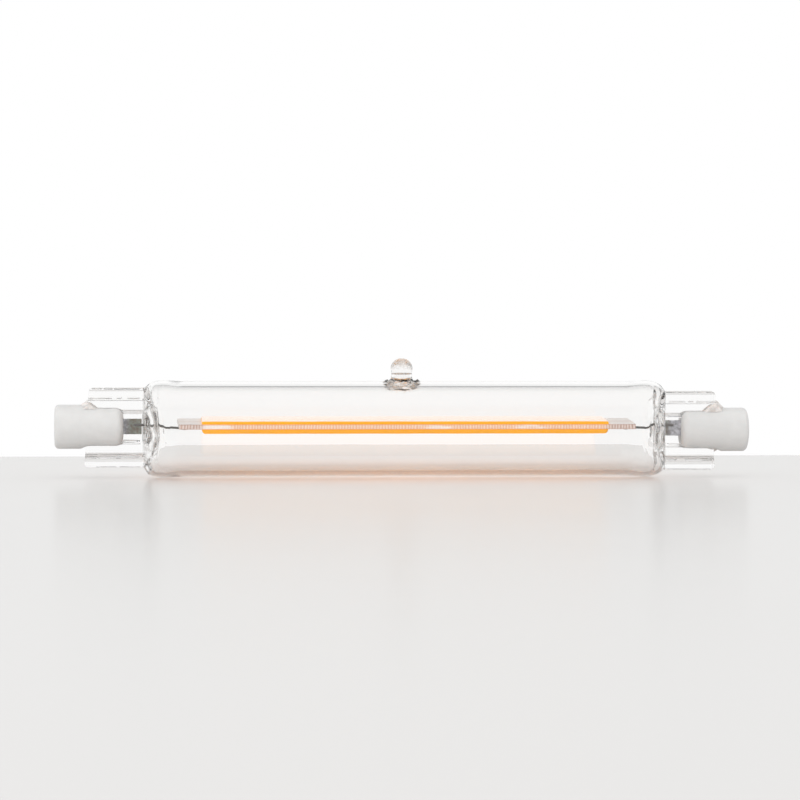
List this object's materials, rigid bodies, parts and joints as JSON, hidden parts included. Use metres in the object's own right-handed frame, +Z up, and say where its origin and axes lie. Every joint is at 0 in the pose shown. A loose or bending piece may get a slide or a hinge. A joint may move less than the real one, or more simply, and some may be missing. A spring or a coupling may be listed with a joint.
{
  "type": "linear led filament bulb",
  "caption": "Clear tubular lamp with a flat yellow light strip sealed inside, an exhaust tip, and a slotted white ceramic cap with a recessed contact at each end.",
  "frame": {"origin": "under the middle of the lamp, level with the lowest point of the tube", "axes": "+X along the lamp, +Z up through the exhaust tip, the flat seals stand in the X-Z plane"},
  "size_m": [0.1186, 0.0166, 0.0203],
  "materials": {
    "clear_glass": "clear, fire polished",
    "clear_strip": "clear strip, laser cut edges",
    "phosphor": "cast silicone with yellow phosphor",
    "chip": "polished chip",
    "plated_pad": "plated",
    "solder": "soldered",
    "lead_wire": "drawn, dull",
    "seal_foil": "etched ribbon",
    "cement": "set cement, slightly translucent",
    "white_ceramic": "pressed, unglazed, smooth",
    "contact_metal": "nickel plated"
  },
  "bodies": {
    "root": {"glass_envelope": "clear_glass", "strip_substrate": "clear_strip", "phosphor_upper": "phosphor", "phosphor_lower": "phosphor", "led_chips": "chip", "terminal_pad_left": "plated_pad", "terminal_pad_right": "plated_pad", "solder_left": "solder", "solder_right": "solder", "inner_lead_left": "lead_wire", "inner_lead_right": "lead_wire", "seal_foil_left": "seal_foil", "seal_foil_right": "seal_foil", "outer_lead_left": "lead_wire", "outer_lead_right": "lead_wire", "cement_left": "cement", "cement_right": "cement", "cap_left": "white_ceramic", "cap_right": "white_ceramic", "contact_left": "contact_metal", "contact_right": "contact_metal"}
  },
  "joints": []
}
